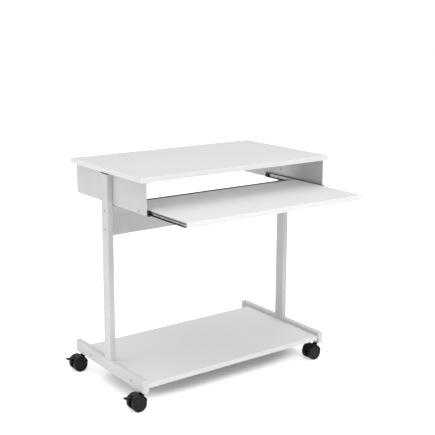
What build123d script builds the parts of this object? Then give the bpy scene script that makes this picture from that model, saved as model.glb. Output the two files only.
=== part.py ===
from build123d import *
import os
from math import cos, hypot, radians, sin

# Mobile computer desk: two steel side frames on castors carry a work top, a base shelf, a modesty
# panel and a keyboard tray on ball-bearing slides.
# Millimetres. While the pieces are made, X runs across the desk (left is -X), Y runs from the
# sitting side (-Y) to the back, Z is up from the floor, and 0, 0 is the middle of the side frames.

# ---- desk ---------------------------------------------------------------------------------
desk_width = 750.0
desk_depth = 450.0
desk_height = 740.0
board_thickness = 16.0
edge_band = 1.0
edge_round = 0.7

# ---- steel frame --------------------------------------------------------------------------
tube_width = 20.0
tube_depth = 40.0
tube_wall = 1.5
tube_corner = 2.0
rail_length = 448.0
tube_least_corner = 0.5
cap_flange = 3.0
cap_round = 1.2
cap_plug_depth = 14.0
plug_clearance = 0.15
post_cap_height = 4.0

# ---- sheet-steel panels -------------------------------------------------------------------
sheet = 1.5
bend_radius = 1.0
panel_length = 444.0
panel_height = 102.0
panel_back_corner = 10.0
panel_front_corner = 2.0
flange_width = 16.0
modesty_height = 102.0
modesty_gap = 1.0
modesty_flange = 18.0

# ---- base shelf ---------------------------------------------------------------------------
shelf_depth = 400.0
shelf_forward = 16.0
shelf_below_rail_top = 13.0
shelf_screw_half_pitch = 132.0

# ---- keyboard tray and its slides ---------------------------------------------------------
tray_depth = 330.0
tray_extension = 195.0
slide_length = 300.0
slide_inner_length = 284.0
slide_height = 17.0
slide_thickness = 10.0
slide_wall = 1.1
slide_outer_reach = 7.6
slide_lip = 1.0
slide_lip_drop = 1.2
slide_inner_half = 5.0
slide_inner_start = 2.6
ball_radius = 1.15
ball_track = 5.0
ball_pitch = 12.0
balls_per_row = 6
cage_length = 76.0
cage_wall = 0.7
cage_start = 1.45
cage_finger_low = 5.5
cage_finger_high = 6.9
front_stop_length = 9.0
rear_stop_length = 14.0
panel_slide_screws_y = (-178.0, -39.0, 54.0)
slide_spare_holes_y = (-140.0, 10.0, 34.0)
spare_hole_radius = 2.6
slide_screw_bite = 0.15
tray_screw_setback = 30.0
bumper_clearance = 0.4
bumper_relief = 0.6

# ---- castors ------------------------------------------------------------------------------
castor_height = 60.0
castor_half_spread = 195.0
castor_trail = 18.0
running_gap = 0.05
press_gap = 0.02
wheel_radius = 25.0
wheel_width = 15.0
wheel_gap = 7.4
wheel_clearance = 0.8
wheel_side_clearance = 0.4
wheel_hub_radius = 7.5
wheel_face_hub_radius = 8.5
wheel_rim = 4.0
wheel_web = 4.5
wheel_dish = 1.2
hood_inner_radius = 26.2
hood_outer_radius = 28.4
hood_half_width = 21.5
hood_stem_side_angle = 12.0
hood_tail_angle = 148.0
web_half = 7.0
web_low_angle = -40.0
web_tail_foot = (-7.5, -6.0)
web_axle_foot = (0.0, -9.0)
boss_radius = 8.5
boss_top = 55.6
boss_round = 1.5
spigot_radius = 5.0
spigot_bottom = 31.0
spigot_chamfer = 0.8
thread_radius = 4.0
thread_length = 18.0
collar_across_flats = 13.0
collar_gap = 0.4
castor_nut_radius = 5.5
castor_nut_height = 15.0
axle_radius = 3.0
axle_half = 19.0
axle_chamfer = 0.5

# ---- castor brakes: pivot and tab tip are x, z places from the stem's foot ------------------
brake_pivot = (-36.0, 43.6)
brake_pin_radius = 1.5
brake_barrel_radius = 3.6
brake_half = 4.4
brake_slot_half = 4.8
brake_slot_length = 30.0
brake_slot_margin = 7.0
brake_arm_length = 13.0
brake_tab_root = 11.0
brake_tab_half = 9.0
brake_tab_tip = (-62.5, 49.0)
brake_tab_thickness = 3.6

# ---- fasteners ----------------------------------------------------------------------------
hole_gap = 0.05
past_face = 1.0
button_head_radius = 4.6
button_head_height = 1.9
frame_screw_radius = 2.5
small_screw_radius = 1.9
small_head_radius = 3.8
small_head_height = 1.9
tray_head_radius = 3.4
tray_head_height = 1.5
head_round_share = 0.6
socket_share = 0.45
lock_nut_across_flats = 8.0
lock_nut_height = 4.0
modesty_screw_rise = 29.5
panel_screw_drops = (22.0, 62.0)
flange_screw_y = (-185.0, 0.0, 185.0)
shelf_screw_bite = 32.0
panel_screw_bite = 3.0
board_screw_bite = 12.0
tray_screw_bite = 16.0
pilot_spare = 0.5

# ---- worked out from the driving dimensions -------------------------------------------------
half_width = desk_width / 2
half_depth = desk_depth / 2
board_underside = desk_height - board_thickness
rail_bottom = castor_height
rail_top = rail_bottom + tube_depth
rail_x = half_width - tube_width / 2
frame_inner_x = half_width - tube_width
panel_bottom = board_underside - panel_height
panel_inner_x = frame_inner_x - sheet
slide_z = panel_bottom + slide_height / 2
slide_front_y = 1.0 - panel_length / 2
tray_half_width = panel_inner_x - slide_thickness
tray_closed_front = -half_depth
tray_front = tray_closed_front - tray_extension
tray_bottom = slide_z - board_thickness / 2
inner_front = slide_front_y - tray_extension
inner_back = inner_front + slide_inner_length
cage_middle = (slide_front_y + inner_back) / 2
modesty_top = panel_bottom - modesty_gap
modesty_bottom = modesty_top - modesty_height
shelf_top = rail_top - shelf_below_rail_top
shelf_bottom = shelf_top - board_thickness
shelf_mid_z = shelf_top - board_thickness / 2
axle_z = wheel_radius
castor_places = [("front_left", -rail_x, -castor_half_spread), ("back_left", -rail_x, castor_half_spread),
                 ("front_right", rail_x, -castor_half_spread), ("back_right", rail_x, castor_half_spread)]
braked_castors = ("front_left", "back_left")

# The origin is the middle of the resting desk's outer box, on the floor.
box_left = -rail_x + brake_tab_tip[0]
box_right = half_width + button_head_height
box_middle_x = (box_left + box_right) / 2
box_middle_y = (tray_front + half_depth) / 2
to_origin = Pos(-box_middle_x, -box_middle_y, 0)


# ---- helpers --------------------------------------------------------------------------------
def block(x0, x1, y0, y1, z0, z1):
    """A box between two corners, given in any order."""
    middle = Pos((x0 + x1) / 2, (y0 + y1) / 2, (z0 + z1) / 2)
    return middle * Box(abs(x1 - x0), abs(y1 - y0), abs(z1 - z0))


def rod_x(x0, x1, y, z, radius):
    """A cylinder along X."""
    return Pos((x0 + x1) / 2, y, z) * Rot(0, 90, 0) * Cylinder(radius, abs(x1 - x0))


def rod_y(y0, y1, x, z, radius):
    """A cylinder along Y."""
    return Pos(x, (y0 + y1) / 2, z) * Rot(90, 0, 0) * Cylinder(radius, abs(y1 - y0))


def rod_z(z0, z1, x, y, radius):
    """A cylinder along Z."""
    return Pos(x, y, (z0 + z1) / 2) * Cylinder(radius, abs(z1 - z0))


def prism_y(points, y0, y1):
    """An outline of x, z points carried along Y from y0 to y1."""
    outline = Plane.XZ * make_face(Polyline(*points, close=True))
    return Pos(0, y1, 0) * extrude(outline, y1 - y0)


def mirrored(shape):
    """The same piece for the right-hand side."""
    return mirror(shape, about=Plane.YZ)


def both_sides(left_pieces):
    """Left-hand pieces followed by their right-hand copies."""
    return left_pieces + [mirrored(piece) for piece in left_pieces]


def cut(shape, tools):
    """The shape with every tool taken away."""
    for tool in tools:
        shape = shape - tool
    return shape


def save(name, *shapes):
    """Write one sub-part: a single solid, or a group of separate ones."""
    solids = [solid for shape in shapes for solid in (to_origin * shape).solids()]
    piece = solids[0] if len(solids) == 1 else Compound(children=solids)
    export_step(piece, "parts/" + name + ".step")


# ---- screws -----------------------------------------------------------------------------------
def screw_x(head_face, direction, y, z, length, radius, head_radius, head_height):
    """A socket-head screw along X. Its head stands on head_face and its shank runs in direction."""
    socket_radius = head_radius * socket_share
    shank = rod_x(head_face, head_face + direction * length, y, z, radius)
    head = rod_x(head_face - direction * head_height, head_face, y, z, head_radius)
    rim = head.edges().filter_by(GeomType.CIRCLE).sort_by(Axis.X)
    outer_rim = rim[0] if direction > 0 else rim[-1]
    depth = head_height * head_round_share
    head = fillet(outer_rim, depth)
    socket = extrude(Plane.YZ * RegularPolygon(socket_radius, 6), depth, both=True)
    socket = Pos(head_face - direction * head_height, y, z) * socket
    return head - socket + shank


def screw_up(head_face, x, y, length, radius, head_radius, head_height):
    """A pan-head screw that points up, with its head under head_face."""
    head = rod_z(head_face - head_height, head_face, x, y, head_radius)
    lower_rim = head.edges().filter_by(GeomType.CIRCLE).sort_by(Axis.Z)[0]
    depth = head_height * head_round_share
    head = fillet(lower_rim, depth)
    socket = extrude(RegularPolygon(head_radius * socket_share, 6), depth, both=True)
    socket = Pos(x, y, head_face - head_height) * socket
    return head - socket + rod_z(head_face, head_face + length, x, y, radius)


def lock_nut(face, direction, y, z):
    """A hexagon nut along X that stands on face and grows in direction."""
    body = extrude(Plane.YZ * RegularPolygon(lock_nut_across_flats / 2, 6, major_radius=False), lock_nut_height)
    start = face if direction > 0 else face - lock_nut_height
    bore = rod_x(start - past_face, start + lock_nut_height + past_face, y, z, frame_screw_radius + hole_gap)
    return Pos(start, y, z) * body - bore


# Each list holds y, z places on the left-hand side.
modesty_screw_places = [(0.0, (modesty_top + modesty_bottom) / 2 + side * modesty_screw_rise) for side in (-1, 1)]
shelf_screw_places = [(-shelf_forward + side * shelf_screw_half_pitch, shelf_mid_z) for side in (-1, 1)]
panel_screw_places = [(0.0, board_underside - drop) for drop in panel_screw_drops]
slide_screw_places = [(y, slide_z) for y in panel_slide_screws_y]
tray_screw_places = [(inner_front + run, slide_z)
                     for run in (tray_screw_setback, slide_inner_length / 2, slide_inner_length - tray_screw_setback)]
flange_screw_x = panel_inner_x - flange_width / 2
frame_screw_reach = tube_width + sheet + lock_nut_height
shelf_screw_reach = tube_width + shelf_screw_bite
panel_screw_reach = sheet + tube_wall + panel_screw_bite
slide_screw_reach = sheet + slide_wall + slide_screw_bite
tray_screw_reach = slide_wall + tray_screw_bite
board_screw_reach = sheet + board_screw_bite


def holes_x(places, x0, x1, radius):
    """Clearance holes along X on the left-hand side."""
    return [rod_x(x0, x1, y, z, radius + hole_gap) for y, z in places]


# ---- boards ---------------------------------------------------------------------------------
def board_core(x_half, y0, y1, z0, side_bands):
    """A chipboard panel, smaller all round by the edge bands it carries."""
    inset = edge_band if side_bands else 0.0
    return block(-x_half + inset, x_half - inset, y0 + edge_band, y1 - edge_band, z0, z0 + board_thickness)


def edge_strips(x_half, y0, y1, z0, side_bands):
    """Edge bands with their outer long edges eased."""
    strips = []
    z1 = z0 + board_thickness
    for outer, inner in ((y0, y0 + edge_band), (y1, y1 - edge_band)):
        strip = block(-x_half, x_half, outer, inner, z0, z1)
        rim = strip.faces().sort_by(Axis.Y)[0 if outer < inner else -1].edges()
        strips.append(fillet(rim, edge_round))
    if side_bands:
        for side in (-1, 1):
            strip = block(side * x_half, side * (x_half - edge_band), y0 + edge_band, y1 - edge_band, z0, z1)
            rim = strip.faces().sort_by(Axis.X)[0 if side < 0 else -1].edges().filter_by(Axis.Y)
            strips.append(fillet(rim, edge_round))
    return strips


board_screws = [screw_up(board_underside - sheet, side * flange_screw_x, y, board_screw_reach,
                         small_screw_radius, small_head_radius, small_head_height)
                for side in (-1, 1) for y in flange_screw_y]
board_pilots = [rod_z(board_underside, board_underside + board_screw_bite + pilot_spare,
                      side * flange_screw_x, y, small_screw_radius + hole_gap)
                for side in (-1, 1) for y in flange_screw_y]
top_board = cut(board_core(half_width, -half_depth, half_depth, board_underside, True), board_pilots)
top_board_edging = edge_strips(half_width, -half_depth, half_depth, board_underside, True)

tray_back = tray_front + tray_depth
tray_pilot_end = -tray_half_width + tray_screw_bite + pilot_spare
tray_pilots = both_sides(holes_x(tray_screw_places, -tray_half_width, tray_pilot_end, small_screw_radius))
keyboard_tray = cut(board_core(tray_half_width, tray_front, tray_back, tray_bottom, True), tray_pilots)
tray_edging = [cut(strip, tray_pilots)
               for strip in edge_strips(tray_half_width, tray_front, tray_back, tray_bottom, True)]

shelf_front = -shelf_forward - shelf_depth / 2
shelf_back = shelf_front + shelf_depth
shelf_pilot_end = -frame_inner_x + shelf_screw_bite + pilot_spare
shelf_pilots = both_sides(holes_x(shelf_screw_places, -frame_inner_x, shelf_pilot_end, frame_screw_radius))
base_shelf = cut(board_core(frame_inner_x, shelf_front, shelf_back, shelf_bottom, False), shelf_pilots)
base_shelf_edging = edge_strips(frame_inner_x, shelf_front, shelf_back, shelf_bottom, False)


# ---- tubes and their plugs --------------------------------------------------------------------
def tube_profile(inset):
    """The tube's outline, 20 by 40, taken in by inset."""
    corner = max(tube_corner - inset, tube_least_corner)
    return RectangleRounded(tube_width - 2 * inset, tube_depth - 2 * inset, corner)


def post_left():
    """Upright tube from the foot rail to its top plug, drilled for its screws."""
    height = board_underside - post_cap_height - rail_top
    tube = extrude(tube_profile(0), height) - extrude(tube_profile(tube_wall), height)
    tube = Pos(-rail_x, 0, rail_top) * tube
    through = holes_x(modesty_screw_places, -half_width - past_face, -frame_inner_x + past_face,
                      frame_screw_radius)
    inner_wall = holes_x(panel_screw_places, -rail_x, -frame_inner_x + past_face, small_screw_radius)
    return cut(tube, through + inner_wall)


def post_cap_left():
    """Plastic plug that closes the top of the post and bears on the board."""
    inset = tube_wall + plug_clearance
    flange = Pos(-rail_x, 0, board_underside - post_cap_height) * extrude(tube_profile(0), post_cap_height)
    plug_bottom = board_underside - post_cap_height - cap_plug_depth
    plug = Pos(-rail_x, 0, plug_bottom) * extrude(tube_profile(inset), cap_plug_depth)
    hollow = Pos(-rail_x, 0, plug_bottom) * extrude(tube_profile(inset + tube_wall), cap_plug_depth)
    return flange + (plug - hollow)


def foot_rail_left():
    """Foot rail tube on edge, drilled for the shelf screws and the castor nuts."""
    run = rail_length - 2 * cap_flange
    stand = Pos(-rail_x, run / 2, rail_bottom + tube_depth / 2) * Rot(90, 0, 0)
    tube = stand * (extrude(tube_profile(0), run) - extrude(tube_profile(tube_wall), run))
    screw_holes = holes_x(shelf_screw_places, -half_width - past_face, -frame_inner_x + past_face,
                          frame_screw_radius)
    nut_holes = [rod_z(rail_bottom - past_face, rail_bottom + tube_wall + past_face, -rail_x,
                       side * castor_half_spread, castor_nut_radius + hole_gap) for side in (-1, 1)]
    return cut(tube, screw_holes + nut_holes)


def rail_cap_left(side):
    """Plug in one end of the left rail; side is -1 at the front and 1 at the back."""
    inset = tube_wall + plug_clearance
    stand = Pos(-rail_x, side * rail_length / 2, rail_bottom + tube_depth / 2) * Rot(90 * side, 0, 0)
    flange = extrude(tube_profile(0), cap_flange)
    outer_rim = flange.faces().sort_by(Axis.Z)[0].edges()
    flange = fillet(outer_rim, cap_round)
    plug = Pos(0, 0, cap_flange) * extrude(tube_profile(inset), cap_plug_depth)
    hollow = Pos(0, 0, cap_flange) * extrude(tube_profile(inset + tube_wall), cap_plug_depth)
    return stand * (flange + (plug - hollow))


def castor_nut(x, y):
    """Threaded insert in the rail's lower wall."""
    top = rail_bottom + castor_nut_height
    body = rod_z(rail_bottom, top, x, y, castor_nut_radius)
    return body - rod_z(rail_bottom - past_face, top + past_face, x, y, thread_radius + hole_gap)


# ---- sheet-steel panels -------------------------------------------------------------------------
def side_panel_left():
    """Hanging side panel with a top flange under the board."""
    outer = -frame_inner_x
    inner = -panel_inner_x
    half = panel_length / 2
    plate = block(outer, inner, -half, half, panel_bottom, board_underside)
    low_corners = plate.edges().filter_by(Axis.X).sort_by(Axis.Z)[:2].sort_by(Axis.Y)
    plate = fillet(low_corners[0], panel_front_corner)
    back_corner = plate.edges().filter_by(Axis.X).group_by(Axis.Z)[0].sort_by(Axis.Y)[-1]
    plate = fillet(back_corner, panel_back_corner)
    flange = block(outer, inner + flange_width, -half, half, board_underside - sheet, board_underside)
    panel = plate + flange
    inner_bend = panel.edges().filter_by(Axis.Y).filter_by(
        lambda edge: abs(edge.center().X - inner) < 0.01 and abs(edge.center().Z - board_underside + sheet) < 0.01)
    panel = fillet(inner_bend, bend_radius)
    outer_bend = panel.edges().filter_by(Axis.Y).filter_by(
        lambda edge: abs(edge.center().X - outer) < 0.01 and abs(edge.center().Z - board_underside) < 0.01)
    panel = fillet(outer_bend, bend_radius + sheet)
    side_holes = holes_x(panel_screw_places + slide_screw_places, outer - past_face, inner + past_face,
                         small_screw_radius)
    top_holes = [rod_z(board_underside - sheet - past_face, board_underside + past_face, -flange_screw_x, y,
                       small_screw_radius + hole_gap) for y in flange_screw_y]
    return cut(panel, side_holes + top_holes)


def modesty_panel():
    """Cross panel between the posts: a flat sheet with a flange bent back at each end."""
    front = -modesty_flange / 2
    sheet_part = block(-frame_inner_x, frame_inner_x, front, front + sheet, modesty_bottom, modesty_top)
    for side in (-1, 1):
        end = side * frame_inner_x
        sheet_part += block(end, end - side * sheet, front, front + modesty_flange, modesty_bottom, modesty_top)
    outer_bends = sheet_part.edges().filter_by(Axis.Z).filter_by(
        lambda edge: abs(abs(edge.center().X) - frame_inner_x) < 0.01 and abs(edge.center().Y - front) < 0.01)
    panel = fillet(outer_bends, bend_radius + sheet)
    inner_bends = panel.edges().filter_by(Axis.Z).filter_by(
        lambda edge: abs(abs(edge.center().X) - panel_inner_x) < 0.01
        and abs(edge.center().Y - front - sheet) < 0.01)
    panel = fillet(inner_bends, bend_radius)
    return cut(panel, both_sides(holes_x(modesty_screw_places, -frame_inner_x - past_face,
                                         -panel_inner_x + past_face, frame_screw_radius)))


# ---- ball-bearing slides, made on the left: t is measured from the panel towards the tray ---------
def slide_section(upper_half, y0, y1):
    """A section given by the t, height points of its upper half, carried along Y."""
    lower_half = [(t, -height) for t, height in reversed(upper_half)]
    points = [(-panel_inner_x + t, slide_z + height) for t, height in upper_half + lower_half]
    return prism_y(points, y0, y1)


def slide_outer_left():
    """Outer channel on the panel: a C with lips that keep the balls in."""
    half = slide_height / 2
    inner_half = half - slide_wall
    lip_low = inner_half - slide_lip_drop
    lip_start = slide_outer_reach - slide_lip
    points = [(0, half), (slide_outer_reach, half), (slide_outer_reach, lip_low), (lip_start, lip_low),
              (lip_start, inner_half), (slide_wall, inner_half)]
    channel = slide_section(points, slide_front_y, slide_front_y + slide_length)
    hole_start = -panel_inner_x - past_face
    hole_end = -panel_inner_x + slide_wall + past_face
    screw_holes = holes_x(slide_screw_places, hole_start, hole_end, small_screw_radius)
    spare_holes = holes_x([(y, slide_z) for y in slide_spare_holes_y], hole_start, hole_end, spare_hole_radius)
    return cut(channel, screw_holes + spare_holes)


def slide_inner_left():
    """Inner member on the tray's edge, open towards the panel."""
    low = slide_inner_half - slide_wall
    web = slide_thickness - slide_wall
    points = [(slide_thickness, slide_inner_half), (slide_inner_start, slide_inner_half),
              (slide_inner_start, low), (web, low)]
    member = slide_section(points, inner_front, inner_front + slide_inner_length)
    return cut(member, holes_x(tray_screw_places, -panel_inner_x + web - past_face,
                               -tray_half_width + past_face, small_screw_radius))


def ball_places():
    """y, z of each ball's middle on the left-hand slide."""
    first = cage_middle - ball_pitch * (balls_per_row - 1) / 2
    height = (slide_height / 2 - slide_wall + slide_inner_half) / 2
    return [(first + ball_pitch * count, slide_z + side * height)
            for side in (-1, 1) for count in range(balls_per_row)]


def ball_cage_left():
    """Retainer: a thin U whose two fingers carry the balls."""
    finger_end = ball_track + ball_radius
    points = [(cage_start, cage_finger_high), (finger_end, cage_finger_high), (finger_end, cage_finger_low),
              (cage_start + cage_wall, cage_finger_low)]
    cage = slide_section(points, cage_middle - cage_length / 2, cage_middle + cage_length / 2)
    pocket = Cylinder(ball_radius + running_gap, 4 * ball_radius)
    return cut(cage, [Pos(-panel_inner_x + ball_track, y, z) * pocket for y, z in ball_places()])


def slide_balls_left():
    """Bearing balls in both rows."""
    return [Pos(-panel_inner_x + ball_track, y, z) * Sphere(ball_radius) for y, z in ball_places()]


def slide_stops_left():
    """Plastic front bumper clipped round the channel's end, and a rear buffer inside it."""
    half = slide_height / 2
    outer_side = slide_thickness - bumper_relief
    opening = slide_inner_half + bumper_clearance
    points = [(0, half), (outer_side, half), (outer_side, opening),
              (slide_inner_start - bumper_clearance, opening)]
    bumper = slide_section(points, slide_front_y - front_stop_length, slide_front_y)
    inside = half - slide_wall
    rear = slide_front_y + slide_length
    lip_start = slide_outer_reach - slide_lip
    buffer = block(-panel_inner_x + slide_wall, -panel_inner_x + lip_start, rear - rear_stop_length, rear,
                   slide_z - inside, slide_z + inside)
    return [bumper, buffer]


# ---- castors, made with the stem on the Z axis and the wheels trailing towards -X -----------------
def castor_stem(x, y):
    """Threaded stem with a hex collar above the hood and a plain spigot that the hood turns on."""
    thread = rod_z(castor_height, castor_height + thread_length, 0, 0, thread_radius)
    collar_height = castor_height - boss_top - collar_gap
    collar = Pos(0, 0, castor_height - collar_height) * extrude(
        RegularPolygon(collar_across_flats / 2, 6, major_radius=False), collar_height)
    spigot = rod_z(spigot_bottom, castor_height - collar_height, 0, 0, spigot_radius)
    tip = spigot.edges().filter_by(GeomType.CIRCLE).sort_by(Axis.Z)[0]
    return Pos(x, y, 0) * (thread + collar + chamfer(tip, spigot_chamfer))


def hood_arc(radius, angle):
    """Point of a circle round the axle, at an angle from +X."""
    return (-castor_trail + radius * cos(radians(angle)), axle_z + radius * sin(radians(angle)))


def castor_hood(braked):
    """Hood: an arched shell over both wheels, a web between them and a boss for the stem."""
    arc_start = hood_arc(hood_outer_radius, hood_stem_side_angle)
    arc_end = hood_arc(hood_outer_radius, hood_tail_angle)
    top_angle = (hood_stem_side_angle + hood_tail_angle) / 2
    outer_arc = ThreePointArc(arc_start, hood_arc(hood_outer_radius, top_angle), arc_end)
    inner_start = hood_arc(hood_inner_radius, hood_stem_side_angle)
    inner_end = hood_arc(hood_inner_radius, hood_tail_angle)
    inner_arc = ThreePointArc(inner_end, hood_arc(hood_inner_radius, top_angle), inner_start)
    section = make_face([outer_arc, Line(arc_end, inner_end), inner_arc, Line(inner_start, arc_start)])
    shell = extrude(Plane.XZ * section, hood_half_width, both=True)
    web_low = hood_arc(hood_outer_radius, web_low_angle)
    web_arc = ThreePointArc(web_low, hood_arc(hood_outer_radius, top_angle), arc_end)
    tail_foot = (-castor_trail + web_tail_foot[0], axle_z + web_tail_foot[1])
    axle_foot = (-castor_trail + web_axle_foot[0], axle_z + web_axle_foot[1])
    web_face = make_face([web_arc, Line(arc_end, tail_foot), Line(tail_foot, axle_foot),
                          Line(axle_foot, web_low)])
    web = extrude(Plane.XZ * web_face, web_half, both=True)
    boss = rod_z(axle_z, boss_top, 0, 0, boss_radius)
    rim = boss.edges().filter_by(GeomType.CIRCLE).sort_by(Axis.Z)[-1]
    hood = shell + web + fillet(rim, boss_round)
    hood -= rod_z(spigot_bottom - collar_gap, boss_top + past_face, 0, 0, spigot_radius + running_gap)
    cheek = web_half + past_face
    hood -= rod_y(-cheek, cheek, -castor_trail, axle_z, axle_radius + press_gap)
    for side in (-1, 1):
        hood -= rod_y(side * (wheel_gap - wheel_side_clearance),
                      side * (wheel_gap + wheel_width + wheel_side_clearance),
                      -castor_trail, axle_z, wheel_radius + wheel_clearance)
    if braked:
        pin_x, pin_z = brake_pivot
        slot_reach = brake_barrel_radius + brake_slot_margin
        hood -= block(pin_x - brake_slot_length, pin_x + brake_barrel_radius + past_face,
                      -brake_slot_half, brake_slot_half, pin_z - slot_reach, pin_z + slot_reach)
        hood -= rod_y(-cheek, cheek, pin_x, pin_z, brake_pin_radius + press_gap)
    return hood


def castor_axle():
    """Steel axle pressed through the web, with its ends eased."""
    axle = rod_y(-axle_half, axle_half, -castor_trail, axle_z, axle_radius)
    return chamfer(axle.edges().filter_by(GeomType.CIRCLE), axle_chamfer)


def castor_wheel(side):
    """One wheel: a rounded tread, a dished outer face, a hub on the axle and a hollow inner side."""
    w = wheel_width
    r = wheel_radius
    hub = wheel_hub_radius
    face_hub = wheel_face_hub_radius
    rim_inner = r - wheel_rim
    bore = axle_radius + running_gap
    outline = [(bore, 0), (hub, 0), (hub + 0.5, w - wheel_web), (rim_inner - 0.5, w - wheel_web),
               (rim_inner, 1.0), (r - 1.0, 1.0), (r, 2.0), (r, w - 2.5), (r - 0.8, w - 0.8), (r - 2.5, w),
               (rim_inner, w), (rim_inner - 1.0, w - wheel_dish), (face_hub + 1.0, w - wheel_dish),
               (face_hub, w), (0, w), (0, w - 2.0), (bore, w - 2.0)]
    face = make_face(Polyline(*outline, close=True))
    wheel = revolve(face, Axis.Y)
    place = Pos(-castor_trail, side * wheel_gap, axle_z)
    return place * (wheel if side > 0 else Rot(0, 0, 180) * wheel)


def brake_lever():
    """Foot lever on a pin in the hood's tail; the wide tab is pressed down to lock the wheels."""
    px, pz = brake_pivot
    tx, tz = brake_tab_tip
    barrel = rod_y(-brake_half, brake_half, px, pz, brake_barrel_radius)
    length = hypot(tx - px, tz - pz)
    ux, uz = (tx - px) / length, (tz - pz) / length
    nx, nz = -uz, ux
    half = brake_tab_thickness / 2

    def along(run, lift):
        """A point run along the lever from its pin and lift to one side."""
        return (px + ux * run + nx * lift, pz + uz * run + nz * lift)

    tip_run = length - half
    arm = prism_y([along(0, half), along(0, -half), along(brake_arm_length, -half),
                   along(brake_arm_length, half)], -brake_half, brake_half)
    tab = prism_y([along(brake_tab_root, half), along(brake_tab_root, -half), along(tip_run, -half),
                   along(tip_run, half)], -brake_tab_half, brake_tab_half)
    nose_x, nose_z = along(tip_run, 0)
    nose = rod_y(-brake_tab_half, brake_tab_half, nose_x, nose_z, half)
    lever = barrel + arm + tab + nose
    return lever - rod_y(-brake_half - past_face, brake_half + past_face, px, pz,
                         brake_pin_radius + running_gap)


def brake_pin():
    """Pin of the brake lever, held in the hood's two cheeks."""
    return rod_y(-web_half, web_half, brake_pivot[0], brake_pivot[1], brake_pin_radius)


# ---- write the sub-parts --------------------------------------------------------------------------
os.makedirs("parts", exist_ok=True)

save("top_board", top_board)
save("top_board_edging", *top_board_edging)
save("keyboard_tray", keyboard_tray)
save("keyboard_tray_edging", *tray_edging)
save("base_shelf", base_shelf)
save("base_shelf_edging", *base_shelf_edging)

for name, make in (("side_panel", side_panel_left), ("post", post_left), ("post_cap", post_cap_left),
                   ("foot_rail", foot_rail_left), ("slide_outer", slide_outer_left),
                   ("slide_inner", slide_inner_left), ("ball_cage", ball_cage_left)):
    left_piece = make()
    save(name + "_left", left_piece)
    save(name + "_right", mirrored(left_piece))

for name, make in (("slide_balls", slide_balls_left), ("slide_stops", slide_stops_left)):
    left_pieces = make()
    save(name + "_left", *left_pieces)
    save(name + "_right", *[mirrored(piece) for piece in left_pieces])

save("rail_end_caps", *both_sides([rail_cap_left(-1), rail_cap_left(1)]))
save("modesty_panel", modesty_panel())
save("modesty_screws", *both_sides([screw_x(-half_width, 1, y, z, frame_screw_reach, frame_screw_radius,
                                            button_head_radius, button_head_height)
                                    for y, z in modesty_screw_places]))
save("modesty_nuts", *both_sides([lock_nut(-panel_inner_x, 1, y, z) for y, z in modesty_screw_places]))
save("shelf_screws", *both_sides([screw_x(-half_width, 1, y, z, shelf_screw_reach, frame_screw_radius,
                                          button_head_radius, button_head_height)
                                  for y, z in shelf_screw_places]))
save("panel_screws", *both_sides([screw_x(-panel_inner_x, -1, y, z, panel_screw_reach, small_screw_radius,
                                          small_head_radius, small_head_height)
                                  for y, z in panel_screw_places]))
save("slide_panel_screws", *both_sides([screw_x(-frame_inner_x, 1, y, z, slide_screw_reach, small_screw_radius,
                                                small_head_radius, small_head_height)
                                        for y, z in slide_screw_places]))
save("slide_tray_screws", *both_sides([screw_x(-panel_inner_x + slide_thickness - slide_wall, 1, y, z,
                                               tray_screw_reach, small_screw_radius, tray_head_radius,
                                               tray_head_height)
                                       for y, z in tray_screw_places]))
save("board_screws", *board_screws)
save("castor_nuts", *[castor_nut(x, y) for _, x, y in castor_places])
save("castor_stems", *[castor_stem(x, y) for _, x, y in castor_places])

for corner, x, y in castor_places:
    place = Pos(x, y, 0)
    braked = corner in braked_castors
    save("castor_hood_" + corner, place * castor_hood(braked))
    save("castor_axle_" + corner, place * castor_axle())
    save("castor_wheel_a_" + corner, place * castor_wheel(-1))
    save("castor_wheel_b_" + corner, place * castor_wheel(1))
    if braked:
        save("brake_lever_" + corner, place * brake_lever())
        save("brake_pin_" + corner, place * brake_pin())
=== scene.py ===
import math

import bmesh
import bpy
from mathutils import Euler, Matrix, Vector


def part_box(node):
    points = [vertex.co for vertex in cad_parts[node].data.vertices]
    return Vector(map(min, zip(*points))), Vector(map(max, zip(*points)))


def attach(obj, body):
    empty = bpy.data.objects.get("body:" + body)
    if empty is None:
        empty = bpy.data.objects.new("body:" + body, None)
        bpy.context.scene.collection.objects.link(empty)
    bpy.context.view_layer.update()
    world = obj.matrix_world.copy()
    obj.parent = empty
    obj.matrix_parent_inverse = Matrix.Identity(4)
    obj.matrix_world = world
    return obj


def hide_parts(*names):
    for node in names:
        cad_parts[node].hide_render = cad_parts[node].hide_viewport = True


bl_info = {
    "name": "Computer Desk with Keyboard Tray",
    "version": (1, 0, 0),
    "blender": (4, 5, 0),
    "location": "3D View > Sidebar > Desk",
    "description": "Finishes and moulded parts of a mobile computer desk, built round its CAD frame",
    "category": "Object",
}

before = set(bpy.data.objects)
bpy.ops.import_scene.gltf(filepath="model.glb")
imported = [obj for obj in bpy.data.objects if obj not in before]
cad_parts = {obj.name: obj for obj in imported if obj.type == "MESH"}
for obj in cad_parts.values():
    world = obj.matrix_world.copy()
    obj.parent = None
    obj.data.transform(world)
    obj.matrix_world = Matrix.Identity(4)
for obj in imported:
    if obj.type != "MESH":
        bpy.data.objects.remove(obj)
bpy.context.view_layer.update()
frame_middle = sum(corner.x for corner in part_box("top_board")) / 2

MM = 0.001
CORNERS = ("front_left", "back_left", "front_right", "back_right")
BRAKED = ("front_left", "back_left")
# from the point on the floor below a castor's stem, with the castor trailing towards -X
AXLE = Vector((-18.0, 0.0, 25.0)) * MM
PIVOT = Vector((-36.0, 0.0, 43.6)) * MM        # the brake lever's pin
WEB_FOOT = Vector((-7.5, 0.0, -6.0)) * MM      # from the axle to the corner of the hood's web


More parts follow.
